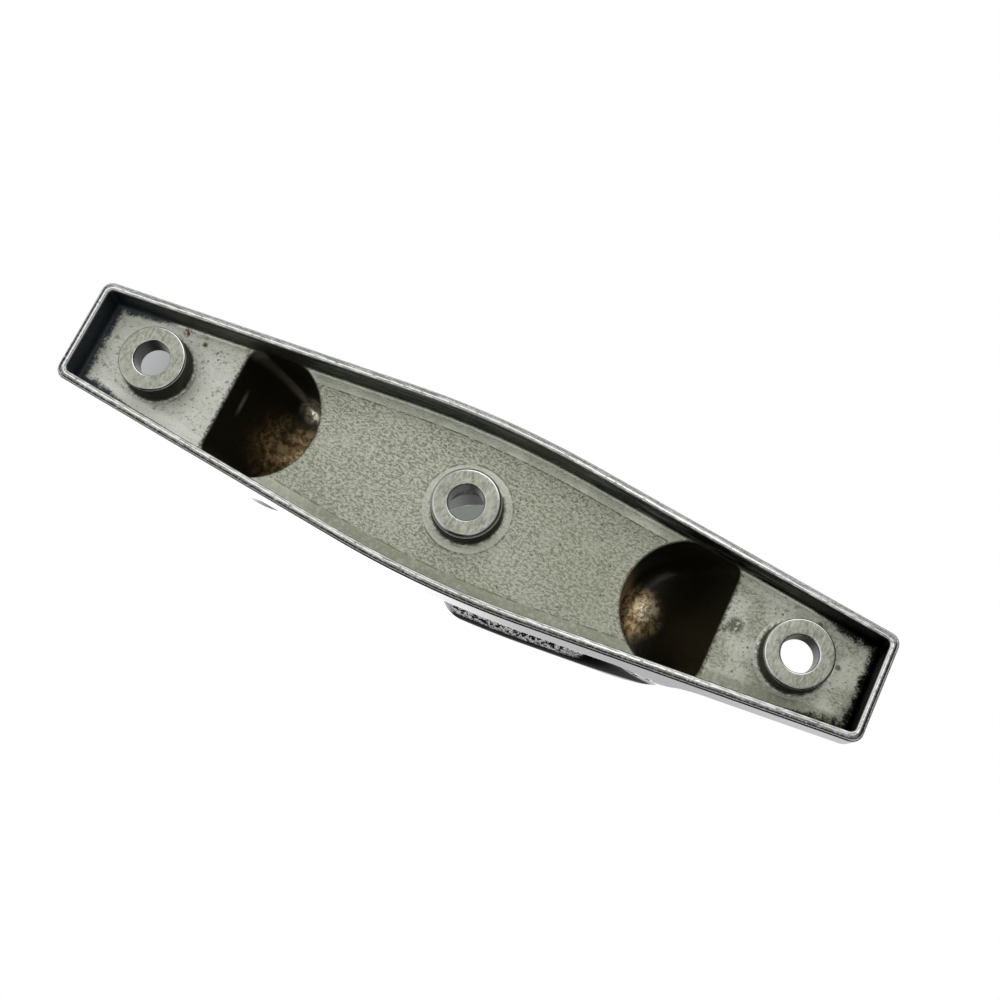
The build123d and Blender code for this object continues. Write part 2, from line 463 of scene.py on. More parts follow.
# ---------------------------------------------------------------- camera
CAMERA_PLACE = Vector((32.8, 48.17, -230.8)) * MM
CAMERA_AIM = Vector((5.17, -2.66, 0.0)) * MM
CAMERA_ROLL = math.radians(-25.9)
LENS_MM = 50.0


def make_camera():
    """Below the casting, level with its Y axis and then rolled."""
    forward = (CAMERA_AIM - CAMERA_PLACE).normalized()
    sideways = forward.cross(Vector((0, -1, 0))).normalized()
    level = Matrix((sideways, sideways.cross(forward), -forward)).transposed()
    turn = Matrix.Rotation(CAMERA_ROLL, 3, forward)
    camera = bpy.data.objects.new("camera", bpy.data.cameras.new("camera"))
    camera.data.lens = LENS_MM
    camera.data.sensor_width = 36.0
    camera.data.clip_start = 0.005
    camera.matrix_world = Matrix.Translation(CAMERA_PLACE) @ (turn @ level).to_4x4()
    bpy.context.scene.collection.objects.link(camera)
    bpy.context.scene.camera = camera


make_camera()


# ---------------------------------------------------------------- materials
# A Mix node has sockets for each kind of value, told apart by their numbers
MIX_NUMBER_A, MIX_NUMBER_B = 2, 3
MIX_COLOUR_A, MIX_COLOUR_B, MIX_COLOUR = 6, 7, 2


class Recipe:
    """A node material in the making. Each call adds a node and gives its output; sizes are in millimetres."""

    def __init__(self, name):
        self.material = bpy.data.materials.new(name)
        self.material.use_nodes = True
        self.nodes = self.material.node_tree.nodes
        self.links = self.material.node_tree.links
        self.shader = self.nodes["Principled BSDF"]
        self.place = self.nodes.new("ShaderNodeTexCoord").outputs["Object"]
        split = self.nodes.new("ShaderNodeSeparateXYZ")
        self.links.new(self.place, split.inputs[0])
        self.x, self.y, self.z = [self.maths("DIVIDE", part, MM) for part in split.outputs]

    def feed(self, socket, value):
        """Links an output to the socket, or sets the socket to a value."""
        if isinstance(value, bpy.types.NodeSocket):
            self.links.new(value, socket)
        else:
            socket.default_value = value

    def maths(self, operation, *values):
        node = self.nodes.new("ShaderNodeMath")
        node.operation = operation
        for socket, value in zip(node.inputs, values):
            self.feed(socket, value)
        return node.outputs[0]

    def times(self, *values):
        result = values[0]
        for value in values[1:]:
            result = self.maths("MULTIPLY", result, value)
        return result

    def add(self, *values):
        result = values[0]
        for value in values[1:]:
            result = self.maths("ADD", result, value)
        return result

    def fade(self, value, start, end, low=0.0, high=1.0):
        """Goes smoothly from low at start to high at end."""
        node = self.nodes.new("ShaderNodeMapRange")
        node.interpolation_type = "SMOOTHSTEP"
        for socket, amount in zip(node.inputs, (value, start, end, low, high)):
            self.feed(socket, amount)
        return node.outputs[0]

    def near(self, value, centre, inner, outer):
        """1 where value is within inner of centre, and 0 past outer."""
        away = self.maths("ABSOLUTE", self.maths("SUBTRACT", value, centre))
        return self.fade(away, inner, outer, 1.0, 0.0)

    def distance_to(self, x, y):
        """How far a point is, in plan, from the line through (x, y) along Z."""
        across = self.maths("SUBTRACT", self.x, x)
        along = self.maths("SUBTRACT", self.y, y)
        return self.maths("SQRT", self.add(self.times(across, across), self.times(along, along)))

    def noise(self, size, detail=3.0, roughness=0.55, distortion=0.0, place=None):
        """Soft random patches of about this size."""
        node = self.nodes.new("ShaderNodeTexNoise")
        self.links.new(place or self.place, node.inputs["Vector"])
        node.inputs["Scale"].default_value = 1 / (size * MM)
        node.inputs["Detail"].default_value = detail
        node.inputs["Roughness"].default_value = roughness
        node.inputs["Distortion"].default_value = distortion
        return node.outputs["Fac"]

    def cells(self, size, place=None):
        """The distance to the nearest of many scattered points, in cell sizes."""
        node = self.nodes.new("ShaderNodeTexVoronoi")
        self.links.new(place or self.place, node.inputs["Vector"])
        node.inputs["Scale"].default_value = 1 / (size * MM)
        return node.outputs["Distance"]

    def stretched(self, x, y, z):
        """The place scaled along each axis: a noise read from it is longer where the scale is small."""
        node = self.nodes.new("ShaderNodeMapping")
        self.links.new(self.place, node.inputs["Vector"])
        node.inputs["Scale"].default_value = (x, y, z)
        return node.outputs[0]

    def kind(self, name):
        """A number that surface_kinds kept for each vertex."""
        node = self.nodes.new("ShaderNodeAttribute")
        node.attribute_name = name
        return node.outputs["Fac"]

    def tint(self, amount, a, b):
        """A colour between a and b, each a colour or an output."""
        node = self.nodes.new("ShaderNodeMix")
        node.data_type = "RGBA"
        self.feed(node.inputs["Factor"], amount)
        for socket, colour in ((node.inputs[MIX_COLOUR_A], a), (node.inputs[MIX_COLOUR_B], b)):
            self.feed(socket, (*colour, 1.0) if isinstance(colour, tuple) else colour)
        return node.outputs[MIX_COLOUR]

    def between(self, amount, a, b):
        """A number between a and b."""
        node = self.nodes.new("ShaderNodeMix")
        self.feed(node.inputs["Factor"], amount)
        self.feed(node.inputs[MIX_NUMBER_A], a)
        self.feed(node.inputs[MIX_NUMBER_B], b)
        return node.outputs[0]

    def facing(self, axis):
        """One part of the surface's direction, from -1 to 1."""
        node = self.nodes.new("ShaderNodeNewGeometry")
        split = self.nodes.new("ShaderNodeSeparateXYZ")
        self.links.new(node.outputs["Normal"], split.inputs[0])
        return split.outputs[axis]

    def finish(self, colour, metallic, roughness, height):
        """height is how far the surface stands out, in millimetres."""
        self.feed(self.shader.inputs["Base Color"], colour)
        self.feed(self.shader.inputs["Metallic"], metallic)
        self.feed(self.shader.inputs["Roughness"], roughness)
        bump = self.nodes.new("ShaderNodeBump")
        bump.inputs["Distance"].default_value = MM
        self.links.new(height, bump.inputs["Height"])
        self.links.new(bump.outputs[0], self.shader.inputs["Normal"])
        return self.material


CHROME = (0.83, 0.835, 0.85)
CHROME_WORN = (0.60, 0.60, 0.585)
SPARKLE = (1.0, 1.0, 0.98)
DARK_REFLECTION_AND_DENT = (0.02, 0.02, 0.02)
NOSE_SHADE = (0.20, 0.215, 0.20)
RIM_LIGHT = (0.47, 0.48, 0.44)
RIM_DARK = (0.20, 0.205, 0.17)
CAST_PAINTED_LIGHT = (0.84, 0.85, 0.80)
CAST_LIGHT = (0.60, 0.62, 0.53)
CAST_MID = (0.47, 0.49, 0.39)
CAST_GRAIN_AND_SHADE = (0.21, 0.22, 0.155)
CAST_DARK = (0.15, 0.16, 0.11)
WALL_SHADE = (0.020, 0.033, 0.042)
WALL_SHADE_BLACK = (0.001, 0.001, 0.001)
OLIVE = (0.075, 0.077, 0.052)
POCKET_SHADE = (0.022, 0.019, 0.010)
POCKET_DIM_LIGHT = (0.22, 0.125, 0.045)
POCKET_LIGHT = (0.80, 0.62, 0.33)
POCKET_HIGHLIGHT = (1.0, 0.93, 0.70)
RUST = (0.13, 0.05, 0.018)
BOSS_FACE = (0.42, 0.435, 0.37)
BOSS_SHADE = (0.20, 0.21, 0.165)
BORE_SHADE = (0.09, 0.09, 0.075)
POST_DARK_REFLECTION = (0.045, 0.047, 0.032)

# Places on the casting: X and Y, with a radius where there are three numbers, or X and Z on the flank
FLANK_DENTS = ((38.6, 16.5), (40.9, 12.3))
SHADED_NOSE = (-4.5, -6.5)
BLOTCH = (50.4, -0.9)
DARK_SPOTS = ((49.0, 0.25, 0.9), (63.5, -7.1, 0.8), (69.0, -1.6, 0.7), (-46.6, -11.6, 0.6))
RUST_SPOTS = ((-60.1, -8.2, 1.2), (-56.2, -7.4, 0.8))
GLOW_AFT = (-37.5, 1.5)
GLOW_FORWARD = (33.8, 1.0)
HIGHLIGHT_AFT = (-37.6, -8.6)
HIGHLIGHT_FORWARD = (35.8, -0.3)
STREAK_HIGHLIGHT = (-46.3, -1.4)

# Lines along the rim and the floor, as distances in from the hollow's wall and from the middle
RIM_OUTER_LINE = -1.42
RIM_DARK_REFLECTION_LINE = -1.12
RIM_INNER_LINE = -0.62
WITNESS_LINE = 2.35
WITNESS_RING = 8.1
POCKET_EDGE_X = 48.2


class CastingRecipe(Recipe):
    """The casting's recipe, with the measures and the noises that its looks share."""

    def __init__(self):
        super().__init__("chrome_casting")
        self.inside, self.cavity = self.kind("hollow"), self.kind("pocket")
        self.gap, self.fold = self.kind("wall_gap"), self.kind("fold")
        self.down = self.facing(2)
        self.along = self.maths("ABSOLUTE", self.x)
        self.fine = self.noise(0.30, 5.0, 0.68)
        self.grain = self.noise(0.8, 5.0, 0.62)
        self.patches = self.noise(6.0, 3.0, 0.55)
        self.clouds = self.noise(16.0, 2.0, 0.5)


def chrome_look(r):
    """Polished chrome, slightly wavy, with faint hazing, a rough crust under the arms painted as dark
    reflection with glints, and painted shade on the nose.
    """
    haze = r.fade(r.clouds, 0.35, 0.7)
    colour = r.tint(r.times(haze, 0.25), CHROME, CHROME_WORN)
    rough = r.between(haze, 0.06, 0.12)
    ripple = r.times(r.noise(7.0, 2.0, 0.4), 0.020)

    # Under the arms the casting was never polished before plating; its rough crust is painted black with
    # white sparkles, a painted dark reflection with painted glints
    rough_under = r.times(r.fade(r.down, -0.38, -0.60), r.fade(r.z, 14.0, 17.0), r.fade(r.along, 29.0, 24.0))
    crust = r.noise(0.75, 3.0, 0.6)
    ripple = r.add(ripple, r.times(rough_under, crust, 1.5))
    colour = r.tint(rough_under, colour, r.tint(r.fade(crust, 0.46, 0.52), DARK_REFLECTION_AND_DENT, SPARKLE))
    sparkle = r.times(rough_under, r.fade(crust, 0.47, 0.52))

    # Painted shade on the nose over the middle hole, which is also rougher
    nose_shade = r.times(r.fade(r.distance_to(*SHADED_NOSE), 8.5, 7.0), r.fade(r.z, 14.0, 17.0),
                   r.fade(r.down, 0.3, 0.0))
    colour = r.tint(nose_shade, colour, NOSE_SHADE)
    rough = r.between(nose_shade, rough, 0.35)
    return colour, rough, ripple, sparkle


def rim_look(r, colour, rough, ripple):
    """The satin rim face between its polished edges, with painted highlight lines along them, a painted dark
    reflection line by the outer edge, scratches along it, and the dents in the flank.
    """
    rim = r.times(r.fade(r.down, -0.90, -0.985), r.fade(r.z, 0.30, 0.12))
    scratches = r.noise(0.5, 3.0, 0.6, place=r.stretched(0.12, 1.0, 1.0))
    face = r.tint(r.fade(scratches, 0.40, 0.60), RIM_DARK, RIM_LIGHT)
    # Painted highlights: bright chrome lines along the rim's inner and outer edges, broken up with noise
    painted_edge_highlight = r.maths("MAXIMUM", r.near(r.gap, RIM_INNER_LINE, 0.04, 0.16),
                        r.near(r.gap, RIM_OUTER_LINE, 0.03, 0.12))
    face = r.tint(r.times(painted_edge_highlight, r.fade(r.noise(0.8, 3.0, 0.6), 0.34, 0.50)), face, CHROME)
    colour = r.tint(rim, colour, face)
    # Painted dark reflection: an olive line near the rim's outer edge, broken up with noise, heavier on the
    # +Y side
    edge_dark_reflection = r.times(r.near(r.gap, RIM_DARK_REFLECTION_LINE, 0.12, 0.34), r.fade(r.z, 1.0, 0.5),
                    r.fade(r.noise(0.6, 4.0, 0.7), 0.36, 0.54))
    colour = r.tint(r.times(edge_dark_reflection, r.fade(r.y, 2.0, 6.0, 0.35, 0.85)), colour, OLIVE)
    for x, z in FLANK_DENTS:
        dent = r.times(r.near(r.x, x, 0.25, 0.6), r.near(r.z, z, 0.6, 1.5), r.fade(r.y, 0.0, 1.0))
        colour = r.tint(dent, colour, DARK_REFLECTION_AND_DENT)
        ripple = r.add(ripple, r.times(dent, -0.6))
    rough = r.between(rim, rough, r.between(scratches, 0.20, 0.36))
    return colour, rough, r.add(ripple, r.times(rim, scratches, 0.02))


def floor_look(r):
    """As cast, with fine pits and stains, smoother by the walls and round the middle boss; painted shade
    darkens it along the +Y wall and towards the forward end, and painted light brightens the aft end.
    """
    from_middle = r.distance_to(0.0, 0.0)
    smooth_edge = r.fade(r.gap, 2.7, 2.1)
    smooth = r.maths("MAXIMUM", smooth_edge, r.fade(from_middle, 8.5, 7.9))
    at_ends = r.fade(r.along, 45.0, 50.0)
    coarse = r.between(smooth, 1.0, 0.35)

    # Grain: a soft tone, broken by dark hatching that follows the metal's flow along X
    flow = r.stretched(0.62, 1.0, 1.0)
    tone = r.add(r.times(r.fade(r.fine, 0.30, 0.70), 0.55), r.times(r.fade(r.grain, 0.30, 0.70), 0.45))
    colour = r.tint(tone, CAST_MID, CAST_LIGHT)
    colour = r.tint(r.times(r.fade(r.clouds, 0.42, 0.62), 0.6), colour, CAST_MID)
    # Painted shade: darker towards the forward (+X) end
    colour = r.tint(r.fade(r.x, 2.0, 26.0, 0.0, 0.22), colour, CAST_GRAIN_AND_SHADE)
    hatch = r.fade(r.noise(0.42, 4.0, 0.8, place=flow), 0.45, 0.57)
    hatch = r.times(hatch, r.fade(r.patches, 0.05, 0.50), r.between(smooth, 0.9, 0.4))
    colour = r.tint(hatch, colour, CAST_GRAIN_AND_SHADE)
    # Painted light: the floor is lighter at the aft end
    colour = r.tint(r.times(r.fade(r.x, -44.0, -50.0), 0.6), colour, CAST_PAINTED_LIGHT)
    calm = r.times(r.maths("MAXIMUM", smooth, at_ends), r.fade(r.patches, 0.40, 0.65), 0.8)
    colour = r.tint(calm, colour, CAST_LIGHT)

    # Specks and pits in the metal, stains at the ends, and painted shade along the +Y wall
    specks = r.times(r.fade(r.cells(0.46, place=flow), 0.40, 0.18), r.fade(r.grain, 0.38, 0.60),
                     r.fade(r.patches, 0.22, 0.58), coarse)
    colour = r.tint(r.times(specks, 0.7), colour, CAST_DARK)
    stain = r.times(at_ends, r.fade(r.noise(1.6, 5.0, 0.7), 0.57, 0.66))
    colour = r.tint(r.times(stain, 0.55), colour, CAST_DARK)
    pits = r.times(r.fade(r.cells(1.9), 0.13, 0.06), r.fade(r.clouds, 0.40, 0.55), coarse)
    colour = r.tint(r.times(pits, 0.85), colour, OLIVE)
    # Painted shade: a darker band along the +Y wall, from x = -40 mm forward
    shaded = r.times(smooth_edge, r.fade(r.y, 0.0, 5.0), r.fade(r.grain, 0.30, 0.55, 0.35, 0.75),
                     r.fade(r.x, -40.0, -20.0))
    colour = r.tint(shaded, colour, CAST_GRAIN_AND_SHADE)

    # Witness lines: left by the die, along the walls and round the middle boss
    witness = r.maths("MAXIMUM", r.near(r.gap, WITNESS_LINE, 0.04, 0.20),
                      r.near(from_middle, WITNESS_RING, 0.05, 0.25))
    witness = r.times(witness, r.fade(r.noise(1.2, 4.0, 0.7), 0.40, 0.56), r.fade(r.along, 52.0, 44.0))
    colour = r.tint(r.times(witness, 0.85), colour, CAST_DARK)

    # Marks: a dark blotch, small spots, rust, and crumbs along the pockets' straight edges
    small = r.noise(0.6, 3.0)
    marks = r.times(r.fade(r.distance_to(*BLOTCH), 2.0, 0.9), r.fade(small, 0.34, 0.48))
    for x, y, radius in DARK_SPOTS:
        spot = r.times(r.fade(r.distance_to(x, y), radius, radius * 0.4), r.fade(small, 0.34, 0.46))
        marks = r.maths("MAXIMUM", marks, spot)
    colour = r.tint(r.times(marks, 0.85), colour, OLIVE)
    for x, y, radius in RUST_SPOTS:
        rust = r.times(r.fade(r.distance_to(x, y), radius, radius * 0.3), r.fade(small, 0.62, 0.50))
        colour = r.tint(rust, colour, RUST)
    lip = r.times(r.near(r.along, POCKET_EDGE_X, 0.1, 0.5), r.fade(r.noise(0.7, 4.0, 0.7), 0.47, 0.55))
    colour = r.tint(r.times(lip, 0.8), colour, OLIVE)

    height = r.add(r.times(r.fine, r.between(smooth, 0.045, 0.02)), r.times(r.grain, 0.035),
                   r.times(r.maths("MAXIMUM", specks, pits), -0.04), r.times(witness, -0.04))
    return colour, r.between(smooth, 0.50, 0.42), height


def wall_look(r):
    """Where the painted shade of the walls is, breaking up into specks over the floor, and the walls' colour,
    painted dark as shade and streaked.
    """
    at_end = r.fade(r.along, 60.0, 71.5)
    reach = r.between(at_end, 0.40, 2.2)
    ragged = r.add(r.times(r.maths("SUBTRACT", r.noise(0.35, 4.0, 0.7), 0.5), 3.2),
                   r.times(r.maths("SUBTRACT", r.noise(1.8, 3.0, 0.6), 0.5), 2.4))
    edge = r.add(r.gap, r.times(ragged, r.between(at_end, 0.12, 1.0)))
    wall_shade = r.fade(edge, reach, r.times(reach, 0.35))
    colour = r.tint(r.fade(r.patches, 0.35, 0.6), WALL_SHADE, OLIVE)
    # Painted shade: at the ends and by the forward pocket the walls go darker, black towards +X
    darkest = r.tint(r.fade(r.x, -20.0, 20.0), WALL_SHADE, WALL_SHADE_BLACK)
    colour = r.tint(r.maths("MAXIMUM", at_end, r.near(r.x, 40.0, 12.0, 20.0)), colour, darkest)
    streaks = r.fade(r.noise(1.0, 3.0, 0.6, place=r.stretched(0.06, 1.0, 1.0)), 0.50, 0.60)
    colour = r.tint(r.times(streaks, r.fade(r.along, 62.0, 54.0), 0.7), colour, RIM_DARK)
    return wall_shade, colour


def pocket_look(r):
    """Painted shade, nearly black, with painted light in brown, gold and cream where the light gets in:
    colour, shine and how metallic.
    """
    mottle = r.fade(r.noise(1.3, 6.0, 0.72, 0.4), 0.42, 0.58)
    blots = r.fade(r.noise(3.2, 4.0, 0.62), 0.40, 0.56)
    aft_side = r.fade(r.x, 0.0, -1.0)
    glow_aft = r.times(r.fade(r.distance_to(*GLOW_AFT), 9.0, 2.0), r.fade(r.z, 12.0, 22.0))
    glow_forward = r.fade(r.distance_to(*GLOW_FORWARD), 6.2, 3.0)
    glow = r.maths("MAXIMUM", glow_aft, glow_forward)

    # Painted highlights, pale lines: the ridge between wall and ceiling, an arc in the forward pocket, a
    # streak in the aft one
    ridge_highlight = r.times(r.fade(r.fold, 2.6, 0.8), aft_side, r.fade(r.y, -5.5, -8.0),
                    r.between(r.fade(r.z, 8.0, 22.0), 0.35, 1.0))
    arc = r.times(r.near(r.fold, 0.6, 0.1, 0.5), glow_forward, r.fade(r.y, 0.5, -1.5), 0.6)
    streak_highlight = r.times(r.fade(r.distance_to(*STREAK_HIGHLIGHT), 3.2, 0.3), r.near(r.x, STREAK_HIGHLIGHT[0], 0.02, 0.30),
                     aft_side, 0.7)
    # Painted highlights: cream spots high in each pocket
    highlight_spot = r.maths("MAXIMUM", r.fade(r.distance_to(*HIGHLIGHT_AFT), 3.0, 0.6),
                    r.fade(r.distance_to(*HIGHLIGHT_FORWARD), 2.8, 0.8))
    highlight_spot = r.times(highlight_spot, r.fade(r.z, 19.0, 22.5), r.between(mottle, 0.25, 1.0))
    highlight_lines = r.maths("MAXIMUM", r.times(ridge_highlight, 0.8), r.times(r.add(arc, streak_highlight), 0.45))
    shine = r.maths("MAXIMUM", highlight_spot, highlight_lines)

    # Painted light: brown and gold over the painted shade where the glow masks are
    colour = r.tint(r.times(glow, r.between(blots, 0.35, 1.0)), POCKET_SHADE, POCKET_DIM_LIGHT)
    colour = r.tint(r.times(glow, mottle, r.between(blots, 0.3, 0.9)), colour, POCKET_LIGHT)
    colour = r.tint(shine, colour, POCKET_HIGHLIGHT)
    metal = r.between(r.maths("MAXIMUM", shine, r.times(glow, 0.6)), 0.35, 0.95)
    return colour, shine, metal


def casting_material():
    """Chrome outside, satin as-cast metal inside, with painted shade on the walls and in the corners, and
    painted shade and light in the pockets.
    """
    r = CastingRecipe()
    outer_colour, outer_rough, ripple, sparkle = chrome_look(r)
    outer_colour, outer_rough, outer_height = rim_look(r, outer_colour, outer_rough, ripple)
    floor_colour, floor_rough, floor_height = floor_look(r)
    wall_shade, wall_colour = wall_look(r)
    pocket_colour, shine, pocket_metal = pocket_look(r)

    inner_colour = r.tint(r.cavity, r.tint(wall_shade, floor_colour, wall_colour), pocket_colour)
    inner_rough = r.between(r.cavity, r.between(wall_shade, floor_rough, 0.55), r.between(shine, 0.40, 0.28))
    inner_height = r.between(r.cavity, floor_height, r.times(r.grain, 0.10))
    wall_shade_metal = r.fade(r.x, 40.0, 60.0, 0.3, 1.0)
    inner_metal = r.between(r.cavity, r.between(wall_shade, 0.75, wall_shade_metal), pocket_metal)

    colour = r.tint(r.inside, outer_colour, inner_colour)
    metallic = r.between(r.inside, r.between(sparkle, 1.0, 0.25), inner_metal)
    roughness = r.between(r.inside, outer_rough, inner_rough)
    height = r.between(r.inside, outer_height, inner_height)
    return r.finish(colour, metallic, roughness, height)


def boss_material(edge_depth):
    """Satin ground face with fine marks, bright rounded edges, a post painted dark as a painted reflection, a
    bore darkened with painted shade, and painted shade round its foot.
    """
    r = Recipe("ground_boss")
    gap = r.kind("from_boss")
    face = r.times(r.fade(r.facing(2), -0.90, -0.985), r.fade(r.z, 1.6, 1.1))
    edge = r.fade(r.z, edge_depth + 0.3, edge_depth)
    on_floor = r.times(r.fade(r.z, 4.9, 5.3), r.fade(gap, 0.0, 0.35))
    fine = r.noise(0.30, 5.0, 0.68)
    marks = r.noise(0.4, 4.0, 0.7, place=r.stretched(1.0, 0.35, 1.0))
    tone = r.noise(2.5, 3.0, 0.55)

    face_colour = r.tint(r.fade(marks, 0.35, 0.7), BOSS_SHADE, BOSS_FACE)
    face_colour = r.tint(r.times(r.fade(tone, 0.45, 0.65), 0.45), face_colour, BOSS_FACE)
    # The post's sides are painted dark, a painted dark reflection, below a chrome edge
    post_colour = r.tint(edge, r.tint(r.fade(tone, 0.40, 0.65), POST_DARK_REFLECTION, OLIVE), CHROME)
    # Painted shade: a dark olive ring round the foot of the boss, broken up with noise
    foot_shade = r.times(r.fade(gap, 1.3, 0.2), r.fade(r.noise(0.7, 4.0, 0.7), 0.35, 0.58))
    floor_colour = r.tint(r.fade(fine, 0.20, 0.60), CAST_MID, CAST_LIGHT)
    floor_colour = r.tint(r.times(foot_shade, 0.85), floor_colour, OLIVE)
    colour = r.tint(on_floor, r.tint(face, post_colour, face_colour), floor_colour)
    roughness = r.between(face, r.between(edge, 0.80, 0.14), r.between(marks, 0.24, 0.42))
    roughness = r.between(on_floor, roughness, 0.42)

    # The bore's wall, darkened as painted shade, is where the distance in from the post's side reaches the
    # hole's radius
    bore_gap = HOLE_RADIUS - END_BOSS_RADIUS
    bore = r.times(r.fade(gap, bore_gap + 0.1, bore_gap - 0.02), r.fade(r.facing(2), -0.6, -0.3))
    colour = r.tint(bore, colour, BORE_SHADE)
    roughness = r.between(bore, roughness, 0.40)

    polished = r.maths("MAXIMUM", r.maths("MAXIMUM", face, edge), r.fade(gap, -1.5, -2.0, 0.15, 1.0))
    metallic = r.between(on_floor, polished, 0.75)
    height = r.add(r.times(face, marks, 0.015), r.times(on_floor, fine, 0.03))
    return r.finish(colour, metallic, roughness, height)


for name, _, _, recess, edge_round in bosses():
    pieces[name].data.materials.append(boss_material(recess + edge_round))
casting_look = casting_material()
for name in ("base_shell", "horn_forward", "horn_aft"):
    pieces[name].data.materials.append(casting_look)


# ---------------------------------------------------------------- stage
ROOM_STRENGTH = 1.3
# The room as reflections see it: each light is a direction, and its levels at cosines from -1 to 1
CEILING = ((-0.3, -0.3, 1.0), (
    (-1.0, 0.02), (-0.3, 0.025), (0.0, 0.06), (0.28, 0.12), (0.42, 0.26), (0.62, 0.40),
    (0.80, 0.46), (0.84, 0.46), (0.87, 0.36), (0.90, 0.44), (0.918, 1.0), (1.0, 1.0)))
WINDOW = ((-0.50, 0.0, -0.87), (
    (0.0, 0.0), (0.20, 0.05), (0.40, 0.22), (0.60, 0.30),
    (0.75, 0.30), (0.88, 0.42), (0.96, 0.85), (1.0, 1.0)))
NEAR_STRIP = ((0.0, -0.75, -0.66), ((0.0, 0.0), (0.80, 0.0), (0.92, 0.9), (1.0, 0.9)))
FAR_STRIP = ((0.0, 0.36, -0.93), ((0.0, 0.0), (0.90, 0.0), (0.97, 0.7), (1.0, 0.7)))

# A dark screen on the +Y side hides them where both of these are 1
SCREEN_AHEAD = ((0.0, 1.0, 0.10), ((-1.0, 0.0), (0.26, 0.0), (0.42, 0.90), (1.0, 0.95)))
SCREEN_ACROSS = ((1.0, 0.0, 0.0), (
    (-1.0, 0.0), (-0.42, 0.0), (-0.22, 1.0), (0.22, 1.0), (0.42, 0.0), (1.0, 0.0)))

# The floor, in millimetres but for its fade, with an opening just inside the base's outline
FLOOR_REACH = 900.0
FLOOR_DROP = 0.02
FLOOR_FADE = (0.28, 0.75)
OPENING_END_GAP = 0.7
OPENING_SIDE_GAP = 0.5
OPENING_POINTS = 97
PAPER = (0.86, 0.86, 0.86, 1.0)

# The backing sheet over the horns, in millimetres; it glows with painted shade, dark over the middle and
# lighter towards the aft end
BACKING_X = (-82.0, 46.0)
BACKING_Y = (-14.0, 3.0)
BACKING_GAP = 0.3
BACKING_TURNS_X = (-58.0, -78.0)
BACKING_SHADE = (0.20, 0.22, 0.20, 1.0)
BACKING_LIGHT = (0.50, 0.505, 0.52, 1.0)


def make_world():
    """White to the camera. Reflections see a pale ceiling, a window, strip lights below and a dark screen."""
    world = bpy.data.worlds.new("studio")
    world.use_nodes = True
    nodes, links = world.node_tree.nodes, world.node_tree.links
    nodes.clear()
    place = nodes.new("ShaderNodeTexCoord")

    def along(direction, steps):
        """A grey level from how closely a direction is followed, given as pairs of cosine and level."""
        reach = nodes.new("ShaderNodeVectorMath")
        reach.operation = "DOT_PRODUCT"
        links.new(place.outputs["Generated"], reach.inputs[0])
        reach.inputs[1].default_value = Vector(direction).normalized()
        share = nodes.new("ShaderNodeMath")
        share.operation = "MULTIPLY_ADD"
        share.inputs[1].default_value = share.inputs[2].default_value = 0.5
        links.new(reach.outputs["Value"], share.inputs[0])
        bands = nodes.new("ShaderNodeValToRGB")
        links.new(share.outputs[0], bands.inputs[0])
        stops = bands.color_ramp.elements
        stops.remove(stops[1])
        for index, (cosine, level) in enumerate(steps):
            stop = stops[0] if index == 0 else stops.new(cosine / 2 + 0.5)
            stop.position = cosine / 2 + 0.5
            stop.color = (level, level, level, 1.0)
        return bands.outputs[0]

    def joined(how, a, b):
        """Two levels added, subtracted or multiplied."""
        mix = nodes.new("ShaderNodeMix")
        mix.data_type = "RGBA"
        mix.blend_type = how
        mix.inputs["Factor"].default_value = 1.0
        links.new(a, mix.inputs[MIX_COLOUR_A])
        links.new(b, mix.inputs[MIX_COLOUR_B])
        return mix.outputs[MIX_COLOUR]

    lights = along(*CEILING)
    for light in (WINDOW, NEAR_STRIP, FAR_STRIP):
        lights = joined("ADD", lights, along(*light))
    hidden = joined("MULTIPLY", lights, joined("MULTIPLY", along(*SCREEN_AHEAD), along(*SCREEN_ACROSS)))
    room = nodes.new("ShaderNodeBackground")
    links.new(joined("SUBTRACT", lights, hidden), room.inputs[0])
    room.inputs[1].default_value = ROOM_STRENGTH
    paper = nodes.new("ShaderNodeBackground")
    paper.inputs[0].default_value = (1.0, 1.0, 1.0, 1.0)
    rays = nodes.new("ShaderNodeLightPath")
    choose = nodes.new("ShaderNodeMixShader")
    links.new(rays.outputs["Is Camera Ray"], choose.inputs[0])
    links.new(room.outputs[0], choose.inputs[1])
    links.new(paper.outputs[0], choose.inputs[2])
    output = nodes.new("ShaderNodeOutputWorld")
    links.new(choose.outputs[0], output.inputs[0])
    bpy.context.scene.world = world


def add_softbox(name, place, aim, side, power, reflected):
    """A square lamp that shows in reflections or only lights the surfaces."""
    light = bpy.data.lights.new(name, "AREA")
    light.shape = "RECTANGLE"
    light.size = light.size_y = side
    light.energy = power
    made = bpy.data.objects.new(name, light)
    made.location = place
    made.rotation_euler = (Vector(aim) - Vector(place)).to_track_quat("-Z", "Y").to_euler()
    made.visible_glossy = reflected
    bpy.context.scene.collection.objects.link(made)


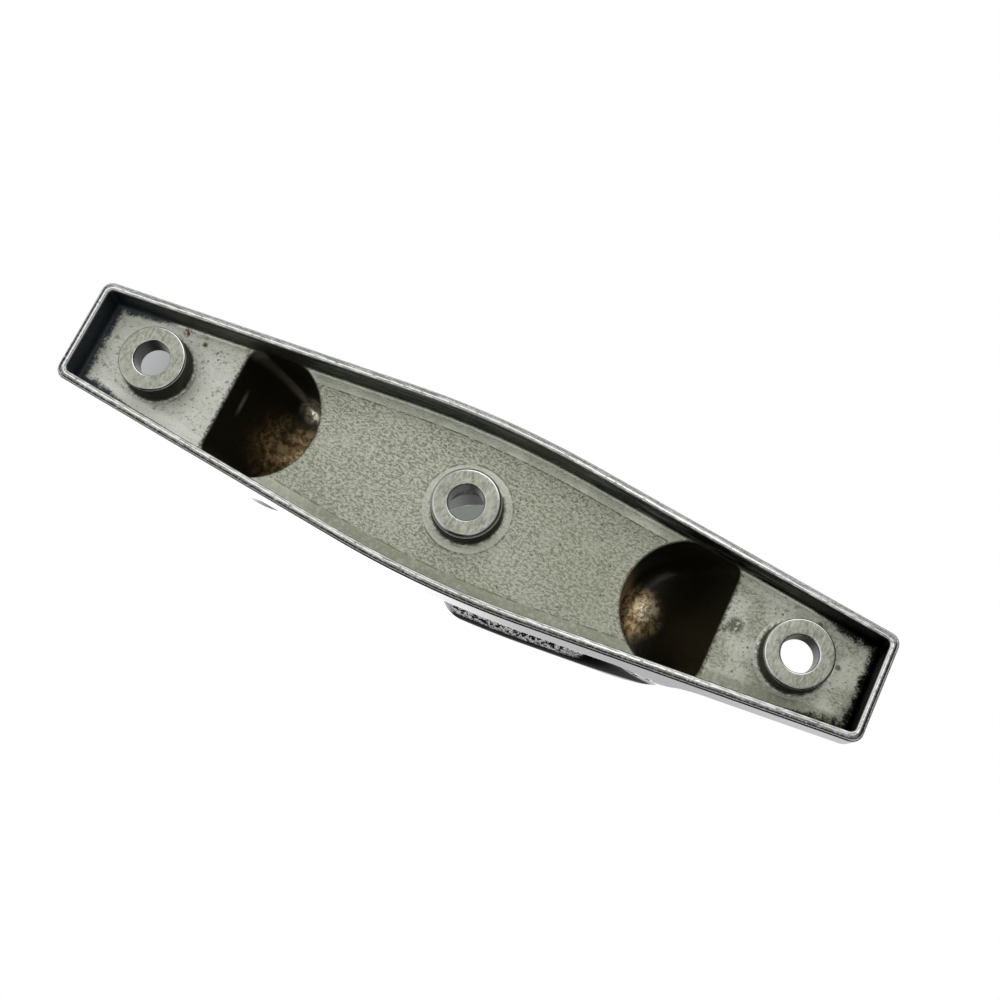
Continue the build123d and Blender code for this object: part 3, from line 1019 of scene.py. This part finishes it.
def one_sided(name, shader_type, clear_from=None):
    """A material that is clear from behind, and may fade away between two distances from the middle, in m."""
    material = bpy.data.materials.new(name)
    material.use_nodes = True
    nodes, links = material.node_tree.nodes, material.node_tree.links
    nodes.remove(nodes["Principled BSDF"])
    front = nodes.new(shader_type)
    side = nodes.new("ShaderNodeNewGeometry")
    clear = side.outputs["Backfacing"]
    if clear_from:
        reach = nodes.new("ShaderNodeVectorMath")
        reach.operation = "LENGTH"
        links.new(side.outputs["Position"], reach.inputs[0])
        fade = nodes.new("ShaderNodeMapRange")
        fade.interpolation_type = "SMOOTHSTEP"
        links.new(reach.outputs["Value"], fade.inputs[0])
        fade.inputs[1].default_value, fade.inputs[2].default_value = clear_from
        either_one = nodes.new("ShaderNodeMath")
        either_one.operation = "MAXIMUM"
        links.new(clear, either_one.inputs[0])
        links.new(fade.outputs[0], either_one.inputs[1])
        clear = either_one.outputs[0]
    nothing = nodes.new("ShaderNodeBsdfTransparent")
    choose = nodes.new("ShaderNodeMixShader")
    links.new(clear, choose.inputs[0])
    links.new(front.outputs[0], choose.inputs[1])
    links.new(nothing.outputs[0], choose.inputs[2])
    links.new(choose.outputs[0], nodes["Material Output"].inputs[0])
    return material, front


def make_floor():
    """A pale floor at the rim plane, seen from above only, open where the hollow of the base stands on it."""
    end = HALF_LENGTH - OPENING_END_GAP
    xs = np.linspace(-end, end, OPENING_POINTS)
    sides, _ = boat(xs, np.zeros_like(xs))
    half = -sides / math.cos(FLANK_ANGLE)
    half = np.where(np.abs(xs) < BOW_RADIUS * math.sin(FLANK_ANGLE), -sides, half) - OPENING_SIDE_GAP
    loop = [(x, h) for x, h in zip(xs, half)] + [(x, -h) for x, h in zip(xs[::-1], half[::-1])]
    corners = [(x * FLOOR_REACH, y * FLOOR_REACH) for x, y in ((-1, -1), (1, -1), (1, 1), (-1, 1))]
    shape = bmesh.new()
    for outline in (loop, corners):
        ring = [shape.verts.new((x * MM, y * MM, 0)) for x, y in outline]
        for a, b in zip(ring, ring[1:] + ring[:1]):
            shape.edges.new((a, b))
    bmesh.ops.triangle_fill(shape, use_beauty=True, edges=shape.edges[:], normal=(0, 0, 1))
    mesh = bpy.data.meshes.new("floor")
    shape.to_mesh(mesh)
    shape.free()
    floor = bpy.data.objects.new("floor", mesh)
    floor.location.z = -FLOOR_DROP * MM
    bpy.context.scene.collection.objects.link(floor)
    material, paper = one_sided("floor", "ShaderNodeBsdfDiffuse", FLOOR_FADE)
    paper.inputs[0].default_value = PAPER
    mesh.materials.append(material)


def make_backing():
    """The pale sheet that the horns touch when the part lies upside down, seen from below only; it glows,
    though it is no lamp, with painted shade that is dark over the middle and lighter towards the aft end.
    """
    (left, right), (near, far) = BACKING_X, BACKING_Y
    mesh = bpy.data.meshes.new("backing")
    corners = [(x * MM, y * MM, 0) for x, y in ((left, near), (left, far), (right, far), (right, near))]
    mesh.from_pydata(corners, [], [(0, 1, 2, 3)])
    backing = bpy.data.objects.new("backing", mesh)
    backing.location.z = (HORN_HEIGHT + BACKING_GAP) * MM
    bpy.context.scene.collection.objects.link(backing)
    backing.visible_diffuse = backing.visible_glossy = backing.visible_shadow = False
    material, glow = one_sided("backing", "ShaderNodeEmission")
    nodes, links = material.node_tree.nodes, material.node_tree.links
    place = nodes.new("ShaderNodeTexCoord")
    split = nodes.new("ShaderNodeSeparateXYZ")
    links.new(place.outputs["Object"], split.inputs[0])
    across = nodes.new("ShaderNodeMapRange")
    across.inputs[1].default_value, across.inputs[2].default_value = [x * MM for x in BACKING_TURNS_X]
    links.new(split.outputs[0], across.inputs[0])
    shade = nodes.new("ShaderNodeMix")
    shade.data_type = "RGBA"
    links.new(across.outputs[0], shade.inputs["Factor"])
    shade.inputs[MIX_COLOUR_A].default_value = BACKING_SHADE
    shade.inputs[MIX_COLOUR_B].default_value = BACKING_LIGHT
    links.new(shade.outputs[MIX_COLOUR], glow.inputs[0])
    mesh.materials.append(material)


make_world()
make_floor()
make_backing()
add_softbox("overhead", (0.05, -0.15, 0.60), (0, 0, 0), 0.60, 2.2, reflected=False)
add_softbox("catch", (0.039, -0.053, -0.230), (0.036, 0, 0.024), 0.045, 0.020, reflected=True)
bpy.context.scene.view_settings.view_transform = "Standard"
